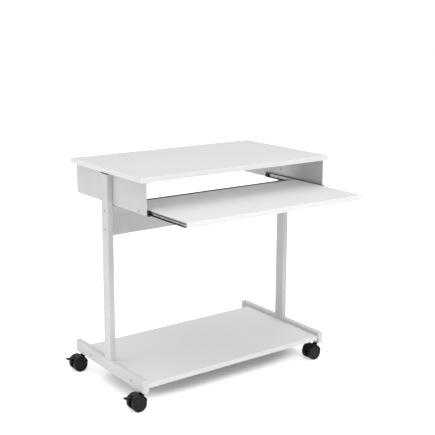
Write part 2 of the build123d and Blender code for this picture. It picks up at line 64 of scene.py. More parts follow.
# ---- colours and nodes ----------------------------------------------------------------------
def linear(hex_colour):
    """Linear RGBA from an sRGB hex colour."""
    values = [int(hex_colour[place:place + 2], 16) / 255 for place in (1, 3, 5)]
    return (*[v / 12.92 if v <= 0.04045 else ((v + 0.055) / 1.055) ** 2.4 for v in values], 1.0)


def colour(title, about, hex_colour):
    """A colour setting."""
    return bpy.props.FloatVectorProperty(name=title, description=about, subtype="COLOR", size=4,
                                         min=0.0, max=1.0, default=linear(hex_colour))


def length(title, about, millimetres):
    """A size setting, given in millimetres."""
    return bpy.props.FloatProperty(name=title, description=about, default=millimetres * MM,
                                   unit="LENGTH", subtype="DISTANCE", precision=4)


def turn(title, about, degrees):
    """An angle property given in degrees."""
    return bpy.props.FloatProperty(name=title, description=about, default=math.radians(degrees),
                                   subtype="ANGLE", unit="ROTATION")


def node(tree, kind, values=None, links=None, **settings):
    """Add one node with its settings, its socket values and what feeds it."""
    made = tree.nodes.new(kind)
    for name, value in settings.items():
        setattr(made, name, value)
    for name, value in (values or {}).items():
        made.inputs[name].default_value = value
    for name, source in (links or {}).items():
        tree.links.new(source, made.inputs[name])
    return made


def new_material(name):
    """A new material: returns it, its tree, its shader and the object coordinates."""
    material = bpy.data.materials.new(name)
    material.use_nodes = True
    tree = material.node_tree
    shader = tree.nodes["Principled BSDF"]
    place = node(tree, "ShaderNodeTexCoord").outputs["Object"]
    return material, tree, shader, place


def blotches(tree, place, size, detail=3.0, stretch=(1.0, 1.0, 1.0)):
    """Soft noise whose blotches are size metres across, longer along the axes that stretch names."""
    spread = node(tree, "ShaderNodeMapping", values={"Scale": tuple(1.0 / (size * s) for s in stretch)},
                  links={"Vector": place})
    noise = node(tree, "ShaderNodeTexNoise", values={"Scale": 1.0, "Detail": detail, "Roughness": 0.55},
                 links={"Vector": spread.outputs["Vector"]})
    return noise.outputs["Fac"]


def between(tree, factor, low, high, start=0.3, end=0.7):
    """A number that runs from low to high as factor goes from start to end."""
    return node(tree, "ShaderNodeMapRange",
                values={"From Min": start, "From Max": end, "To Min": low, "To Max": high},
                links={"Value": factor}).outputs["Result"]


def mix_colours(tree, factor, first, second):
    """A colour from first to second by factor; either may be a colour or a socket."""
    mix = node(tree, "ShaderNodeMix", data_type="RGBA")
    tree.links.new(factor, mix.inputs[0])
    for socket, value in ((mix.inputs[6], first), (mix.inputs[7], second)):
        if isinstance(value, bpy.types.NodeSocket):
            tree.links.new(value, socket)
        else:
            socket.default_value = value
    return mix.outputs[2]


def add_bump(tree, shader, height, depth):
    """Small relief, depth metres from its lowest to its highest point."""
    bump = node(tree, "ShaderNodeBump", values={"Distance": depth, "Strength": 1.0},
                links={"Height": height})
    tree.links.new(bump.outputs["Normal"], shader.inputs["Normal"])


def darker(rgba, share):
    """A colour with every channel multiplied by share."""
    return (rgba[0] * share, rgba[1] * share, rgba[2] * share, 1.0)


# ---- settings ---------------------------------------------------------------------------------
class DeskFinish(bpy.types.PropertyGroup):
    """Colours of the desk."""
    board: colour("Board face", "Melamine face of the boards", "#DBDCDB")
    band: colour("Edge band", "Plastic band round the boards", "#E4E5E4")
    paint: colour("Frame paint", "Powder coat on the steel frame", "#CACDCB")
    screws: colour("Screw paint", "Paint baked on the frame's screws", "#BDC1BF")
    zinc: colour("Zinc plating", "Plated slides and fittings", "#C3C6C9")
    nylon: colour("Castor nylon", "Moulded castor bodies and wheels", "#0D0D0E")
    black: colour("Black plastic", "Plugs and bumpers", "#191919")
    grey: colour("Grey plastic", "End plugs of the foot rails", "#E0E2E0")


class SteelForm(bpy.types.PropertyGroup):
    """Sizes of the welds, and of the black strip of painted shade on the modesty panel's top edge."""
    sheet: length("Sheet", "Thickness of the panels' sheet steel", 1.5)
    # The strip is painted shade: a black bar along the modesty panel's top edge that stands for the shadow
    # there, not a rubber part.
    strip: length("Edge strip", "Thickness of the rubber strip on the modesty panel", 3.2)
    strip_top: length("Edge strip top", "How far the strip stands above the sheet", 0.8)
    strip_drop: length("Edge strip drop", "How far the strip reaches down the sheet", 5.0)
    strip_margin: length("Edge strip margin", "From the panel's ends to the strip's ends", 3.0)
    slot_gap: length("Slot gap", "Space between the sheet and the strip's slot", 0.03)
    weld: length("Weld size", "Radius of a weld bead", 2.2)
    weld_pitch: length("Weld ripple", "Distance from one frozen drop of a weld to the next", 1.5)
    weld_margin: length("Weld margin", "Clear distance from a weld's end to the tube's corner", 2.0)


class CastorForm(bpy.types.PropertyGroup):
    """Sizes of one twin-wheel castor, beyond those of its CAD solids."""
    rim: length("Rim", "Width of the wheel's raised rim", 3.4)
    dish: length("Dish", "Depth of the wheel's dished face", 1.5)
    tread_round: length("Tread rounding", "Radius at the tread's edges", 1.6)
    shell: length("Hood thickness", "Thickness of the hood over the wheels", 2.2)
    shell_gap: length("Hood gap", "Space between a wheel and the hood", 1.2)
    shoulder: length("Hood shoulder", "Rounding along the hood's sides", 1.5)
    stem_side: turn("Hood start", "Where the hood starts, above level on the stem's side", 12.0)
    tail: turn("Hood end", "Where the hood ends, round from level on the stem's side", 148.0)
    web: length("Web width", "Width of the web between the wheels", 14.0)
    web_low: turn("Web foot", "Where the web's foot meets its rim, below level on the stem's side", -40.0)
    tab: length("Brake lever length", "From the brake's pin to the tip of its tab", 26.8)
    rib: length("Brake rib", "Height of the grip ribs on the brake tab", 0.4)
    lever_lift: turn("Brake lever lift", "How far the lever slopes up from level", 11.5)


class FastenerForm(bpy.types.PropertyGroup):
    """Sizes of the screws and nuts, as their CAD solids have them."""
    frame_head: length("Frame screw head", "Radius of the frame screws' heads", 4.6)
    frame_height: length("Frame screw head height", "Height of the frame screws' heads", 1.9)
    frame_shank: length("Frame screw shank", "Radius of the frame screws' shanks", 2.5)
    small_head: length("Small screw head", "Radius of the panel screws' heads", 3.8)
    small_height: length("Small screw head height", "Height of the panel screws' heads", 1.9)
    small_shank: length("Small screw shank", "Radius of the panel screws' shanks", 1.9)
    tray_head: length("Tray screw head", "Radius of the tray screws' heads", 3.4)
    tray_height: length("Tray screw head height", "Height of the tray screws' heads", 1.5)
    slide_middle: length("Middle slide screw", "From the front slide screw to the middle one", 139.0)
    nut_flats: length("Nut width", "Width of the lock nuts across their flats", 8.0)
    nut_height: length("Nut height", "Height of the lock nuts", 4.0)


class StudioSetup(bpy.types.PropertyGroup):
    """Camera and light."""
    lens: bpy.props.FloatProperty(name="Lens", description="Focal length in millimetres", default=72.89,
                                  min=10.0)
    place: bpy.props.FloatVectorProperty(name="Camera place", description="Where the camera stands",
                                         subtype="TRANSLATION", unit="LENGTH",
                                         default=(-1.6711, -2.3107, 1.2198))
    tilt: bpy.props.FloatProperty(name="Tilt", description="How far the camera looks down", subtype="ANGLE",
                                  unit="ROTATION", default=math.radians(11.511))
    heading: bpy.props.FloatProperty(name="Heading", description="Turn to the right from looking along +Y",
                                     subtype="ANGLE", unit="ROTATION", default=math.radians(36.28))
    roll: bpy.props.FloatProperty(name="Roll", description="Lean of the camera", subtype="ANGLE",
                                  unit="ROTATION", default=math.radians(0.266))
    shift: bpy.props.FloatVectorProperty(name="Shift", description="Sideways and upward lens shift", size=2,
                                         default=(-0.0012, -0.06))
    glow: bpy.props.FloatProperty(name="Floor glow", description="How strongly the floor glows to look white",
                                  default=0.45, min=0.0)
    # The dim floor patch under the desk is a painted shadow: the next two settings give its size and its
    # glow.
    shade: bpy.props.FloatVectorProperty(name="Shade size", size=2, default=(0.385, 0.160),
                                         description="Half width and half depth of the dim floor patch",
                                         subtype="XYZ_LENGTH", unit="LENGTH")
    painted_shadow_glow: bpy.props.FloatProperty(name="Shade glow", default=0.05, min=0.0,
                                    description="Floor glow in the dim patch under the desk")
    cast: bpy.props.FloatProperty(name="Cast share", default=0.05, min=0.0, max=1.0, subtype="FACTOR",
                                  description="Share of the floor's glow that lights the desk")
    key: bpy.props.FloatProperty(name="Key light", description="Power of the front soft box in watts",
                                 default=37.0, min=0.0)
    side: bpy.props.FloatProperty(name="Side light", description="Power of the left soft box in watts",
                                  default=2.8, min=0.0)
    horizon: bpy.props.FloatProperty(name="Dome foot", description="Brightness of the white dome at its foot",
                                     default=0.12, min=0.0)
    zenith: bpy.props.FloatProperty(name="Dome top", description="Brightness of the white dome overhead",
                                    default=1.72, min=0.0)


# ---- materials ----------------------------------------------------------------------------------
def melamine(finish):
    """Melamine-faced chipboard, pressed against a pearl-grained plate: a flat, dry sheen with faint fleck."""
    material, tree, shader, place = new_material("melamine_pearl_grain")
    fleck = blotches(tree, place, 4 * MM, detail=4.0)       # real grain is 0.5 mm; drawn coarse to show
    cloud = blotches(tree, place, 140 * MM, detail=2.0)
    tone = mix_colours(tree, between(tree, fleck, 0.0, 1.0), darker(finish.board, 0.955), finish.board)
    tone = mix_colours(tree, between(tree, cloud, 0.0, 0.35), tone, darker(finish.board, 0.93))
    tree.links.new(tone, shader.inputs["Base Color"])
    tree.links.new(between(tree, fleck, 0.40, 0.50), shader.inputs["Roughness"])
    shader.inputs["IOR"].default_value = 1.55
    add_bump(tree, shader, blotches(tree, place, 2.5 * MM, detail=2.0), 0.03 * MM)
    return material


def edge_band(finish):
    """ABS edge band, extruded and buffed: a little brighter than the face, with faint lengthwise lines."""
    material, tree, shader, place = new_material("abs_edge_band_buffed")
    lines = blotches(tree, place, 1.2 * MM, detail=2.0, stretch=(120.0, 120.0, 1.0))
    tone = mix_colours(tree, between(tree, lines, 0.0, 1.0), darker(finish.band, 0.96), finish.band)
    tree.links.new(tone, shader.inputs["Base Color"])
    tree.links.new(between(tree, lines, 0.30, 0.42), shader.inputs["Roughness"])
    shader.inputs["IOR"].default_value = 1.54
    add_bump(tree, shader, lines, 0.02 * MM)
    return material


def powder_coat(name, paint):
    """Epoxy-polyester powder coat baked on steel: semi-gloss with a fine orange-peel surface."""
    material, tree, shader, place = new_material(name)
    peel = blotches(tree, place, 3.5 * MM, detail=1.0)      # real peel is about 1.5 mm; drawn coarse to show
    drift = blotches(tree, place, 110 * MM, detail=3.0)
    tone = mix_colours(tree, between(tree, drift, 0.0, 1.0), paint, darker(paint, 0.955))
    tree.links.new(tone, shader.inputs["Base Color"])
    tree.links.new(between(tree, drift, 0.36, 0.46), shader.inputs["Roughness"])
    shader.inputs["IOR"].default_value = 1.56
    add_bump(tree, shader, peel, 0.05 * MM)
    return material


def zinc_strip(finish, name, along, race_shade_band=None):
    """Bright zinc on roll-formed steel strip: cool metal with drawing lines along the roll direction.
    The last argument is how far above and below the slide's middle a painted shade of the ball races starts
    and is full."""
    material, tree, shader, place = new_material(name)
    stretch = tuple(60.0 if axis == along else 1.0 for axis in range(3))
    lines = blotches(tree, place, 0.9 * MM, detail=3.0, stretch=stretch)
    bloom = blotches(tree, place, 22 * MM, detail=3.0)
    tone = mix_colours(tree, between(tree, bloom, 0.0, 1.0), finish.zinc, darker(finish.zinc, 0.82))
    if race_shade_band is not None:
        low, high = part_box("slide_outer_left")
        height = node(tree, "ShaderNodeSeparateXYZ", links={"Vector": place}).outputs["Z"]
        off = node(tree, "ShaderNodeMath", values={1: (low.z + high.z) / 2}, links={0: height},
                   operation="SUBTRACT").outputs["Value"]
        away = node(tree, "ShaderNodeMath", links={0: off}, operation="ABSOLUTE").outputs["Value"]
        # painted shade: the zinc darkens towards the ball races above and below the slide's middle, standing
        # for the shadow under their lips
        painted_race_shade = between(tree, away, 0.0, 0.85, start=race_shade_band[0], end=race_shade_band[1])
        tone = mix_colours(tree, painted_race_shade, tone, linear("#2B2B2A"))
    tree.links.new(tone, shader.inputs["Base Color"])
    tree.links.new(between(tree, lines, 0.22, 0.38), shader.inputs["Roughness"])
    shader.inputs["Metallic"].default_value = 1.0
    add_bump(tree, shader, lines, 0.02 * MM)
    return material


def ball_steel():
    """Lapped bearing steel under a film of grease: a mirror with faint smears."""
    material, tree, shader, place = new_material("bearing_steel_lapped")
    smear = blotches(tree, place, 1.5 * MM, detail=3.0)
    tone = mix_colours(tree, between(tree, smear, 0.0, 1.0), linear("#C9CACC"), linear("#A9A79F"))
    tree.links.new(tone, shader.inputs["Base Color"])
    tree.links.new(between(tree, smear, 0.08, 0.25), shader.inputs["Roughness"])
    shader.inputs["Metallic"].default_value = 1.0
    add_bump(tree, shader, smear, 0.005 * MM)
    return material


def moulded(name, rgba, grain, roughness, ior, scuff=None, gloss=0.5):
    """Injection-moulded plastic from a spark-eroded tool: even colour, fine grain, satin sheen."""
    material, tree, shader, place = new_material(name)
    texture = blotches(tree, place, grain, detail=3.0)
    flow = blotches(tree, place, 16 * MM, detail=2.0)
    tone = mix_colours(tree, between(tree, flow, 0.0, 1.0), rgba, darker(rgba, 0.86))
    if scuff is not None:
        marks = blotches(tree, place, 5 * MM, detail=5.0, stretch=(1.0, 2.5, 1.0))
        tone = mix_colours(tree, between(tree, marks, 0.0, 0.7, start=0.5, end=0.75), tone, scuff)
    tree.links.new(tone, shader.inputs["Base Color"])
    tree.links.new(between(tree, texture, roughness - 0.06, roughness + 0.08), shader.inputs["Roughness"])
    shader.inputs["IOR"].default_value = ior
    shader.inputs["Specular IOR Level"].default_value = gloss
    add_bump(tree, shader, texture, 0.04 * MM)
    return material


materials = {}


def make_materials(finish):
    """Every finish of the desk, by the name its pieces use."""
    materials.update(
        board=melamine(finish),
        band=edge_band(finish),
        paint=powder_coat("powder_coat_semi_gloss", finish.paint),
        lacquer=powder_coat("powder_coat_screws", finish.screws),
        # the last two numbers place the painted shade of the ball races
        channel=zinc_strip(finish, "zinc_plated_channel", 1, (5.2 * MM, 6.4 * MM)),
        member=zinc_strip(finish, "zinc_plated_member", 1, (2.4 * MM, 3.6 * MM)),
        hardware=zinc_strip(finish, "zinc_plated_turned", 2),
        balls=ball_steel(),
        nylon=moulded("pa6_nylon_spark_grain", finish.nylon, 1.4 * MM, 0.38, 1.53, gloss=0.3),
        tread=moulded("pa6_nylon_tread", darker(finish.nylon, 1.15), 1.4 * MM, 0.55, 1.53,
                      scuff=linear("#3B3A38"), gloss=0.3),
        black=moulded("polypropylene_black", finish.black, 1.6 * MM, 0.40, 1.49),
        grey=moulded("polypropylene_light_grey", finish.grey, 1.6 * MM, 0.42, 1.49),
    )


def finish_node(name, material):
    """Give a CAD node its material."""
    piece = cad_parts[name]
    if not piece.material_slots:
        piece.data.materials.append(None)
    for slot in piece.material_slots:
        slot.material = materials[material]


# ---- modelling helpers ------------------------------------------------------------------------
def clear_selection():
    """Deselect everything, in object mode."""
    if bpy.context.mode != "OBJECT":
        bpy.ops.object.mode_set(mode="OBJECT")
    bpy.ops.object.select_all(action="DESELECT")


def alone(piece):
    """Leave only one object selected and active, in object mode."""
    clear_selection()
    piece.select_set(True)
    bpy.context.view_layer.objects.active = piece


def settle():
    """Put the active object's place, turn and size into its mesh."""
    bpy.ops.object.transform_apply(location=True, rotation=True, scale=True)
    return bpy.context.object


def rod(radius, start, end, axis, sides=64, across=(0.0, 0.0)):
    """A cylinder along X, Y or Z (axis 0, 1, 2) from start to end; across is its middle on the other two."""
    angles = ((0, math.pi / 2, 0), (math.pi / 2, 0, 0), (0, 0, 0))[axis]
    place = list(across)
    place.insert(axis, (start + end) / 2)
    clear_selection()
    bpy.ops.mesh.primitive_cylinder_add(vertices=sides, radius=radius, depth=abs(end - start),
                                        end_fill_type="NGON", location=place, rotation=angles)
    return settle()


def bar(low, high):
    """A rectangular bar between two corners."""
    clear_selection()
    bpy.ops.mesh.primitive_cube_add(size=1, location=[(a + b) / 2 for a, b in zip(low, high)],
                                    scale=[abs(b - a) for a, b in zip(low, high)])
    return settle()


def edit(piece, kind):
    """Go into edit mode with nothing selected; kind is VERT, EDGE or FACE."""
    alone(piece)
    bpy.ops.object.mode_set(mode="EDIT")
    bpy.ops.mesh.select_mode(type=kind)
    bpy.ops.mesh.select_all(action="DESELECT")


def pick(piece, kind, test):
    """In edit mode, select only the faces, edges or points that pass the test."""
    bpy.ops.mesh.select_mode(type=kind)
    bpy.ops.mesh.select_all(action="DESELECT")
    mesh = bmesh.from_edit_mesh(piece.data)
    mesh.normal_update()
    group = {"VERT": mesh.verts, "EDGE": mesh.edges, "FACE": mesh.faces}[kind]
    found = [element for element in group if test(element)]
    for element in found:
        element.select_set(True)
    bmesh.update_edit_mesh(piece.data)
    if not found:
        raise RuntimeError(f"nothing was selected on {piece.name}")


def rings(steps):
    """Inset the selected face again and again; each step is its width and its rise."""
    for width, rise in steps:
        bpy.ops.mesh.inset(thickness=width, depth=rise, use_even_offset=True)


def modify(piece, kind, **settings):
    """Add one modifier, set it and apply it."""
    alone(piece)
    modifier = piece.modifiers.new(kind.title(), kind)
    for name, value in settings.items():
        setattr(modifier, name, value)
    bpy.ops.object.modifier_apply(modifier=modifier.name)
    return piece


def combine(piece, tool, operation):
    """Join, cut or intersect with a tool, which is used up."""
    modify(piece, "BOOLEAN", object=tool, operation=operation, solver="EXACT")
    bpy.data.objects.remove(tool)
    return piece


def ease(piece, width, segments=2, angle=40.0):
    """Round the edges that are sharper than angle."""
    return modify(piece, "BEVEL", width=width, segments=segments, limit_method="ANGLE",
                  angle_limit=math.radians(angle), use_clamp_overlap=True, harden_normals=False)


def smooth(piece, angle=35.0):
    """Shade smooth, keeping the edges sharper than angle."""
    alone(piece)
    bpy.ops.object.shade_smooth_by_angle(angle=math.radians(angle))
    return piece


def put(piece, place=(0, 0, 0), angles=(0, 0, 0)):
    """Move a piece to its place, turned by the angles, and put that into its mesh."""
    alone(piece)
    piece.location = place
    piece.rotation_euler = Euler(angles)
    return settle()


def copy_to(piece, place, angles=(0, 0, 0)):
    """A copy with its own mesh, put at its place."""
    twin = piece.copy()
    twin.data = piece.data.copy()
    bpy.context.scene.collection.objects.link(twin)
    return put(twin, place, angles)


def joined(pieces):
    """Several objects made one."""
    alone(pieces[0])
    for piece in pieces[1:]:
        piece.select_set(True)
    bpy.ops.object.join()
    return bpy.context.view_layer.objects.active


def complete(piece, name, body, material, replaced=()):
    """Name a piece, give it its material, tie it to its body and hide the CAD nodes it replaces."""
    piece.name = name
    piece.data.name = name
    if not piece.data.materials:
        piece.data.materials.append(materials[material])
    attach(piece, body)
    if replaced:
        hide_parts(*replaced)


# ---- boards, steel, slides ----------------------------------------------------------------------
class DESK_OT_boards(bpy.types.Operator):
    """Finish the work top, the keyboard tray and the base shelf"""
    bl_idname = "desk.boards"
    bl_label = "Boards"

    def execute(self, context):
        for name in ("top_board", "keyboard_tray", "base_shelf"):
            finish_node(name, "board")
            finish_node(name + "_edging", "band")
        return {"FINISHED"}


def weld_bead(form, run):
    """A fillet weld along Y, in the corner of x = 0 and z = 0 on the side of -X: a row of frozen drops."""
    drop_squash = 0.75        # along the run, as a share of the bead's radius
    lean_share = 0.12         # how far a drop strays from the line, as a share of the radius
    lean_rhythm = 2.3         # radians from one drop's lean to the next
    drops = []
    clear_selection()
    bpy.ops.mesh.primitive_uv_sphere_add(segments=24, ring_count=16, radius=form.weld, location=(0, 0, 0))
    drop = bpy.context.object
    drop.scale = (1.0, drop_squash, 1.0)
    settle()
    count = round(run / form.weld_pitch)
    for step in range(count):
        lean = lean_share * form.weld * math.sin(step * lean_rhythm)
        drops.append(copy_to(drop, (lean, (step + 0.5 - count / 2) * form.weld_pitch, lean / 2)))
    bpy.data.objects.remove(drop)
    bead = modify(joined(drops), "REMESH", mode="VOXEL", voxel_size=0.3 * MM)
    modify(bead, "SMOOTH", factor=0.5, iterations=3)
    return smooth(bead, 60.0)


def painted_shade_strip(form):
    """A black strip on the modesty panel's top edge, painted shade that stands for the shadow along it: an
    eased bar with the sheet's slot in it.
    """
    low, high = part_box("modesty_panel")
    sheet = Vector((low.x + form.strip_margin, low.y, high.z - form.strip_drop))
    side = (form.strip - form.sheet) / 2
    strip = bar((sheet.x, sheet.y - side, sheet.z),
                (high.x - form.strip_margin, sheet.y + form.sheet + side, high.z + form.strip_top))
    ease(strip, 0.6 * MM, segments=3)
    slot = bar((low.x, sheet.y - form.slot_gap, sheet.z - 1 * MM),
               (high.x, sheet.y + form.sheet + form.slot_gap, high.z + form.slot_gap))
    return smooth(combine(strip, slot, "DIFFERENCE"))


class DESK_OT_painted_steel(bpy.types.Operator):
    """Finish the painted steel, and model the posts' welds and a black strip of painted shade on the modesty
    panel's top edge
    """
    bl_idname = "desk.painted_steel"
    bl_label = "Painted steel"

    def execute(self, context):
        form = context.scene.steel_form
        for name in ("side_panel", "post", "foot_rail"):
            for side in ("left", "right"):
                finish_node(f"{name}_{side}", "paint")
        finish_node("modesty_panel", "paint")
        for side in ("left", "right"):
            low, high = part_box("post_" + side)
            run = high.x - low.x - 2 * form.weld_margin
            bead = weld_bead(form, run)
            middle = (low.x + high.x) / 2
            beads = [copy_to(bead, (middle, face, low.z), (0, 0, math.pi / 2)) for face in (low.y, high.y)]
            bpy.data.objects.remove(bead)
            complete(joined(beads), "weld_beads_" + side, "frame", "paint")
        # painted shade: a black strip along the modesty panel's top edge
        complete(painted_shade_strip(form), "modesty_painted_shade_strip", "frame", "black")
        return {"FINISHED"}


class DESK_OT_slides(bpy.types.Operator):
    """Finish the ball-bearing slides and their stops"""
    bl_idname = "desk.slides"
    bl_label = "Slides"

    def execute(self, context):
        for side in ("left", "right"):
            finish_node("slide_outer_" + side, "channel")
            finish_node("slide_inner_" + side, "member")
            finish_node("ball_cage_" + side, "hardware")
            finish_node("slide_balls_" + side, "balls")
            finish_node("slide_stops_" + side, "black")
        return {"FINISHED"}


class DESK_OT_plugs(bpy.types.Operator):
    """Finish the plastic plugs of the tubes"""
    bl_idname = "desk.plugs"
    bl_label = "Tube plugs"

    def execute(self, context):
        finish_node("rail_end_caps", "grey")
        for side in ("left", "right"):
            finish_node("post_cap_" + side, "black")
        return {"FINISHED"}


def button_screw(head_radius, head_height, shank_radius, reach):
    """A button-head screw along +X with the underside of its head at x = 0 and a hexagon socket;
    reach is its length under the head."""
    point = 0.6 * MM          # length of the tapered point
    screw = rod(head_radius, -head_height, 0.0, 0, sides=40)
    edit(screw, "EDGE")
    pick(screw, "EDGE", lambda edge: all(vertex.co.x < -head_height * 0.9 for vertex in edge.verts))
    bpy.ops.mesh.bevel(offset=head_height * 0.6, segments=5, affect="EDGES")
    pick(screw, "FACE", lambda face: face.normal.x > 0.99)
    rings([(head_radius - shank_radius, 0.0), (0.01 * MM, reach - point), (0.5 * MM, point)])
    bpy.ops.object.mode_set(mode="OBJECT")
    key = rod(head_radius * 0.45, -2 * head_height, -head_height * 0.35, 0, sides=6)
    return smooth(combine(screw, key, "DIFFERENCE"))


def nut(across_flats, height, bore):
    """A hexagon nut along +X from x = 0, with its corners turned down."""
    corner_share = 1.11       # radius left at the corners, as a share of half the width across flats
    body = rod(across_flats / math.sqrt(3), 0.0, height, 0, sides=6)
    turned = rod(across_flats / 2 * corner_share, -height * 0.02, height, 0, sides=48)
    ease(turned, height * 0.16, segments=3, angle=60.0)
    body = combine(body, turned, "INTERSECT")
    body = combine(body, rod(bore, -height, 2 * height, 0, sides=32), "DIFFERENCE")
    ease(body, 0.12 * MM, segments=2, angle=50.0)
    return smooth(body)


def even(low, high, count):
    """Evenly spaced places from low to high."""
    if count == 1:
        return [(low + high) / 2]
    return [low + (high - low) * step / (count - 1) for step in range(count)]


def both_sides(pattern, underside, places, turned):
    """Copies of a screw or nut at the (y, z) places on the left and, mirrored, on the right; underside is
    how far out each stands from the middle of the frame, and turned ones point outwards."""
    copies = []
    for side in (-1, 1):
        points_right = (side < 0) != turned
        for y, z in places:
            place = (frame_middle + side * underside, y, z)
            copies.append(copy_to(pattern, place, (0, 0, 0 if points_right else math.pi)))
    bpy.data.objects.remove(pattern)
    return joined(copies)


class DESK_OT_fasteners(bpy.types.Operator):
    """Model the button-head screws and the lock nuts where their CAD solids sit"""
    bl_idname = "desk.fasteners"
    bl_label = "Fasteners"

    def execute(self, context):
        form = context.scene.fastener_form
        finish_node("castor_nuts", "hardware")
        big = (form.frame_head, form.frame_height, form.frame_shank)
        small = (form.small_head, form.small_height, form.small_shank)
        tray = (form.tray_head, form.tray_height, form.small_shank)
        # name, body, slot, material, size, length under the head, columns, rows, head inwards
        sets = (("modesty", "frame", "painted_screws", "lacquer", big, 25.5 * MM, 1, 2, False),
                ("shelf", "frame", "painted_screws", "lacquer", big, 52.0 * MM, 2, 1, False),
                ("panel", "frame", "painted_screws", "lacquer", small, 6.0 * MM, 1, 2, True),
                ("slide_panel", "frame", "painted_screws", "lacquer", small, 2.75 * MM, 3, 1, False),
                ("slide_tray", "tray", "slide_zinc", "hardware", tray, 17.1 * MM, 3, 1, False))
        for name, body, slot, material, size, reach, columns, rows, inwards in sets:
            radius, height, shank = size
            low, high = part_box(name + "_screws")
            ys = even(low.y + radius, high.y - radius, columns)
            zs = even(low.z + radius, high.z - radius, rows)
            if name == "slide_panel":
                ys[1] = ys[0] + form.slide_middle
            underside = (high.x - low.x) / 2 - (reach if inwards else height)
            piece = both_sides(button_screw(radius, height, shank, reach), underside,
                               [(y, z) for y in ys for z in zs], inwards)
            complete(piece, name + "_button_screws", body, material, [name + "_screws"])

        low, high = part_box("board_screws")
        pattern = button_screw(*small, high.z - low.z - form.small_height)
        copies = [copy_to(pattern, (x, y, low.z + form.small_height), (0, -math.pi / 2, 0))
                  for x in (low.x + form.small_head, high.x - form.small_head)
                  for y in even(low.y + form.small_head, high.y - form.small_head, 3)]
        bpy.data.objects.remove(pattern)
        complete(joined(copies), "board_button_screws", "frame", "lacquer",
                 ["board_screws"])

        low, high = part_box("modesty_nuts")
        pattern = nut(form.nut_flats, form.nut_height, form.frame_shank + 0.05 * MM)
        y = (low.y + high.y) / 2
        places = [(y, z) for z in (low.z + form.nut_flats / 2, high.z - form.nut_flats / 2)]
        piece = both_sides(pattern, (high.x - low.x) / 2, places, False)
        complete(piece, "modesty_lock_nuts", "frame", "hardware", ["modesty_nuts"])
        return {"FINISHED"}


# ---- castors ------------------------------------------------------------------------------------
def castor_wheel(form, radius, width):
    """One wheel on its axle at the origin: its inner side at y = 0 and its dished face at y = width."""
    wheel = rod(radius, 0.0, width, 1)
    edit(wheel, "FACE")
    pick(wheel, "FACE", lambda face: face.normal.y > 0.9)
    rings([(form.rim, 0.0), (0.7 * MM, -form.dish),     # raised rim, then down into the dish
           (9.0 * MM, 0.5 * MM),                        # the dished disc, rising to the hub
           (0.5 * MM, 0.9 * MM), (2.2 * MM, 0.1 * MM),  # the hub's side and face
           (0.4 * MM, -0.5 * MM), (3.0 * MM, 0.0)])     # the recess in the hub
    pick(wheel, "FACE", lambda face: face.normal.y < -0.9 and face.calc_center_median().y < 0.1 * MM)
    rings([(3.6 * MM, 0.0), (0.5 * MM, -8.0 * MM),      # tread wall, then into the hollow
           (11.5 * MM, 0.0), (0.4 * MM, 7.9 * MM),      # the hollow's floor, then back up the hub
           (5.9 * MM, 0.0), (0.05 * MM, -12.5 * MM)])   # the hub's end, then down the axle's bore
    outer = radius - 0.05 * MM
    pick(wheel, "EDGE", lambda edge: all(math.hypot(v.co.x, v.co.z) > outer for v in edge.verts)
         and abs(edge.verts[0].co.y - edge.verts[1].co.y) < 0.1 * MM)
    bpy.ops.mesh.bevel(offset=form.tread_round, segments=4, profile=0.5, affect="EDGES")
    bpy.ops.object.mode_set(mode="OBJECT")
    ease(wheel, 0.2 * MM, segments=2, angle=35.0)
    wheel.data.materials.append(materials["nylon"])
    wheel.data.materials.append(materials["tread"])
    for face in wheel.data.polygons:
        if math.hypot(face.center.x, face.center.z) > radius - 0.6 * MM:
            face.material_index = 1
    return smooth(wheel)


def hood_arch(form, inner, outer, half):
    """The hood's shell round the axle at the origin: a rounded strip spun from the stem side to the tail."""
    start, middle = form.stem_side, (inner + outer) / 2
    clear_selection()
    bpy.ops.mesh.primitive_plane_add(size=1, rotation=(0, -start, 0),
                                     location=(middle * math.cos(start), 0, middle * math.sin(start)))
    arch = bpy.context.object
    arch.scale = (outer - inner, 2 * half, 1)
    settle()
    edit(arch, "VERT")
    pick(arch, "VERT", lambda point: math.hypot(point.co.x, point.co.z) > middle)
    bpy.ops.mesh.bevel(offset=form.shoulder, segments=5, affect="VERTICES")
    bpy.ops.mesh.select_all(action="SELECT")
    bpy.ops.mesh.spin(steps=56, angle=form.tail - start, center=(0, 0, 0), axis=(0, 1, 0))
    bpy.ops.mesh.select_all(action="SELECT")
    bpy.ops.mesh.remove_doubles(threshold=0.01 * MM)
    bpy.ops.mesh.normals_make_consistent(inside=False)
    bpy.ops.object.mode_set(mode="OBJECT")
    return ease(arch, 0.6 * MM, segments=3, angle=60.0)


def hood_web(form, outer, half):
    """The web between the wheels, round the axle at the origin: a disc with its foot cut off twice."""
    inset = 0.05 * MM         # keeps the disc's rim inside the arch
    blade_size = 60 * MM      # more than reaches across the disc
    web = rod(outer - inset, -half, half, 1, sides=160)
    end = Vector((math.cos(form.tail), 0, math.sin(form.tail))) * outer
    low = Vector((math.cos(form.web_low), 0, math.sin(form.web_low))) * outer
    for first, second in ((end, WEB_FOOT), (WEB_FOOT, low)):
        slope = math.atan2(second.z - first.z, second.x - first.x)
        blade = bar((-blade_size, -2 * half, -blade_size), (blade_size, 2 * half, 0))
        blade = put(blade, first, (0, -slope, 0))
        web = combine(web, blade, "DIFFERENCE")
    return ease(web, 0.8 * MM, segments=3, angle=40.0)


